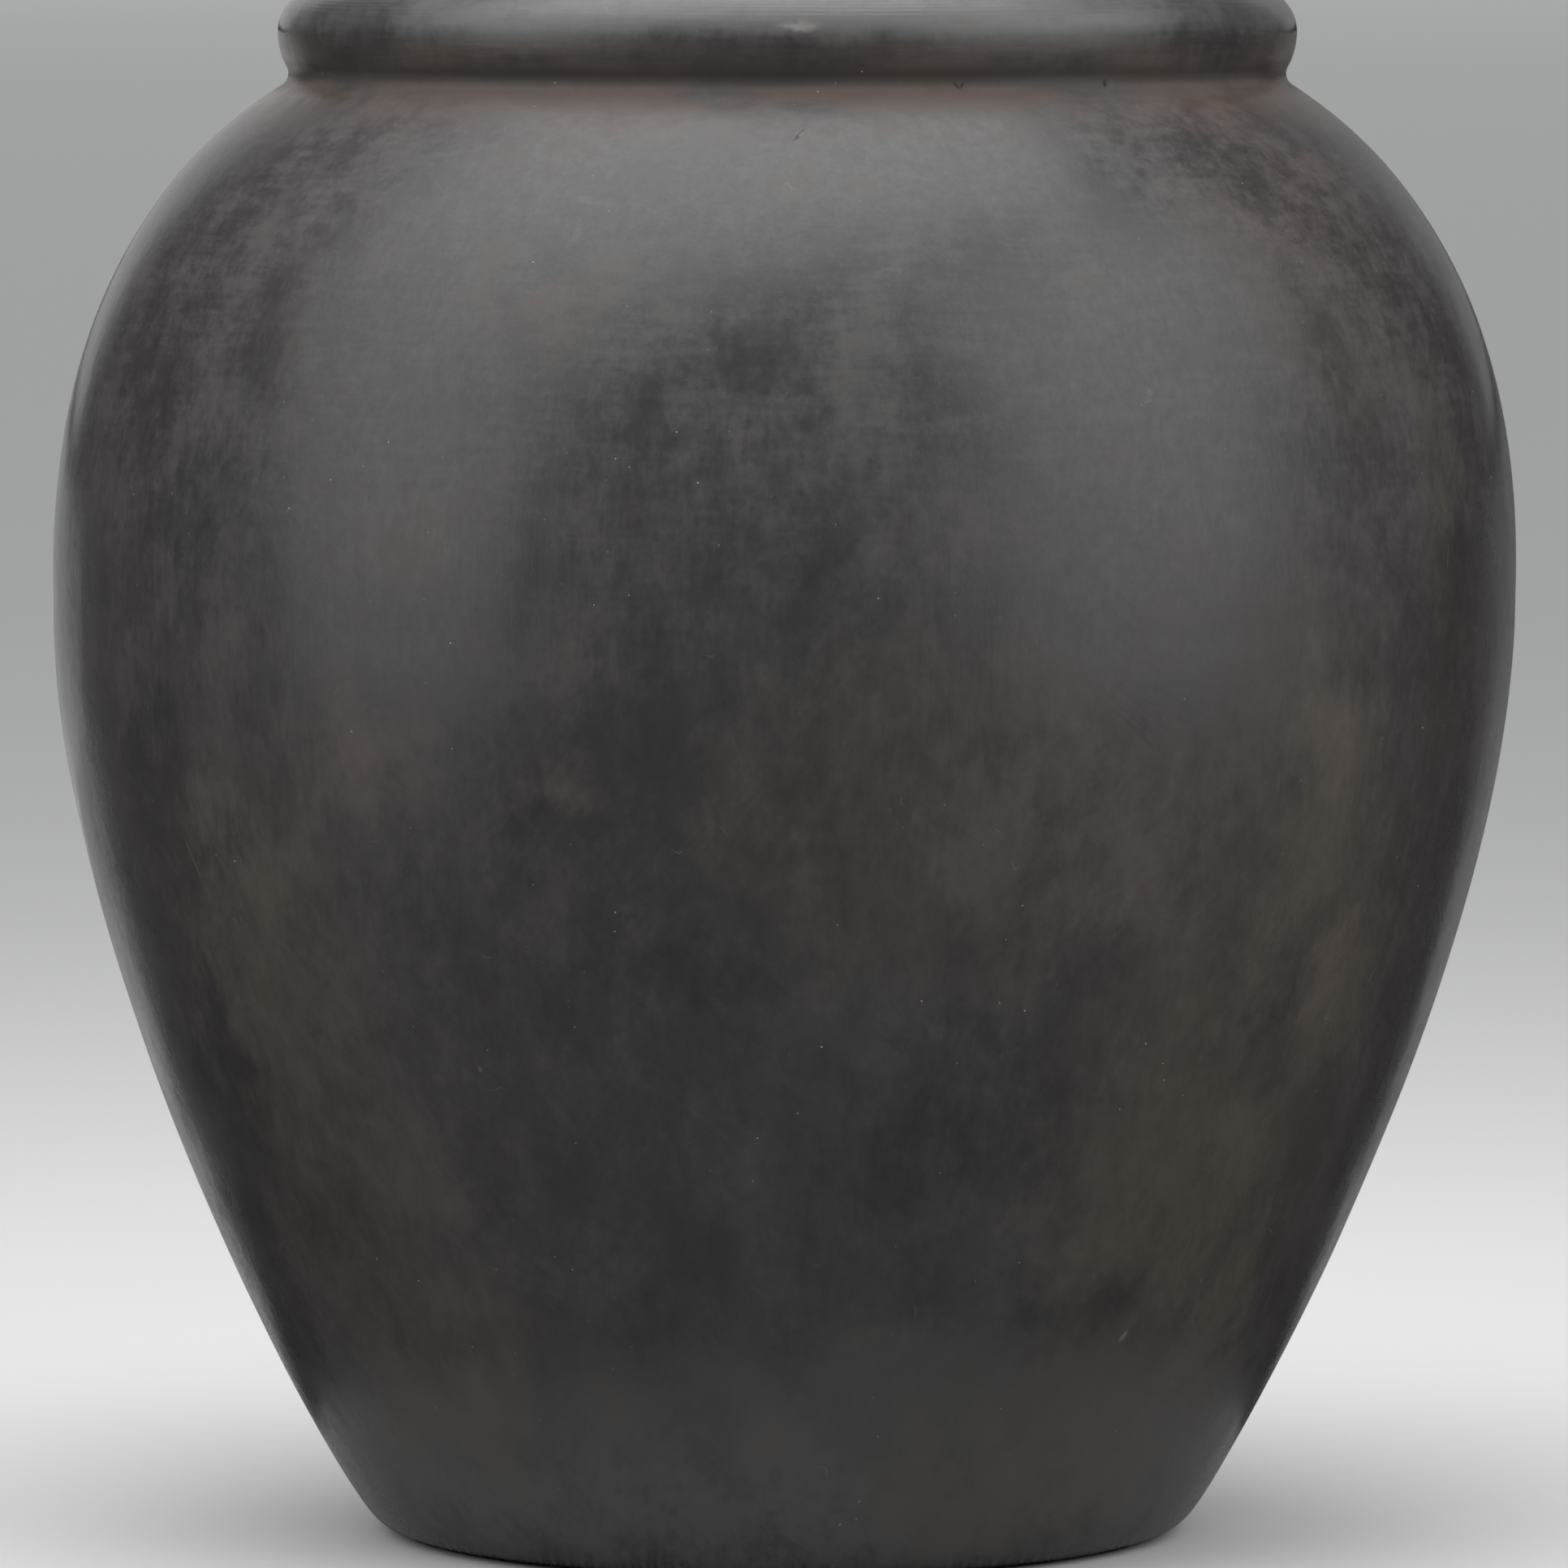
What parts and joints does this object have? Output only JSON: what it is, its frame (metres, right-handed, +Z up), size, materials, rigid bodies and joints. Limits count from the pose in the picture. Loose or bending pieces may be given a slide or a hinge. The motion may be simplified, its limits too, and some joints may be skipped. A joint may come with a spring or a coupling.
{
  "type": "clay pot",
  "caption": "Wide black burnished clay jar with a flat base, full belly, closed-in shoulder, grooved neck and thick rolled lip, open at the top.",
  "frame": {"origin": "centre of the flat underside, on the surface that the pot stands on", "axes": "+Z up along the pot's axis, -Y towards the front; the pot is round, so X and Y are free choices"},
  "size_m": [0.3002, 0.3002, 0.3175],
  "materials": {
    "base_clay": "matt reduction-fired black clay, lightly scraped",
    "wall_clay": "satin burnished black clay with brown and olive fire clouds",
    "neck_clay": "satin burnished black clay, browner in the groove",
    "lip_clay": "satin burnished black clay with fine turning lines on top"
  },
  "bodies": {
    "root": {"base_slab": "base_clay", "base_fillet_coil": "base_clay", "foot_wall": "wall_clay", "lower_wall": "wall_clay", "belly_wall": "wall_clay", "upper_wall": "wall_clay", "shoulder_wall": "wall_clay", "neck_ring": "neck_clay", "rim_coil": "lip_clay"}
  },
  "joints": []
}
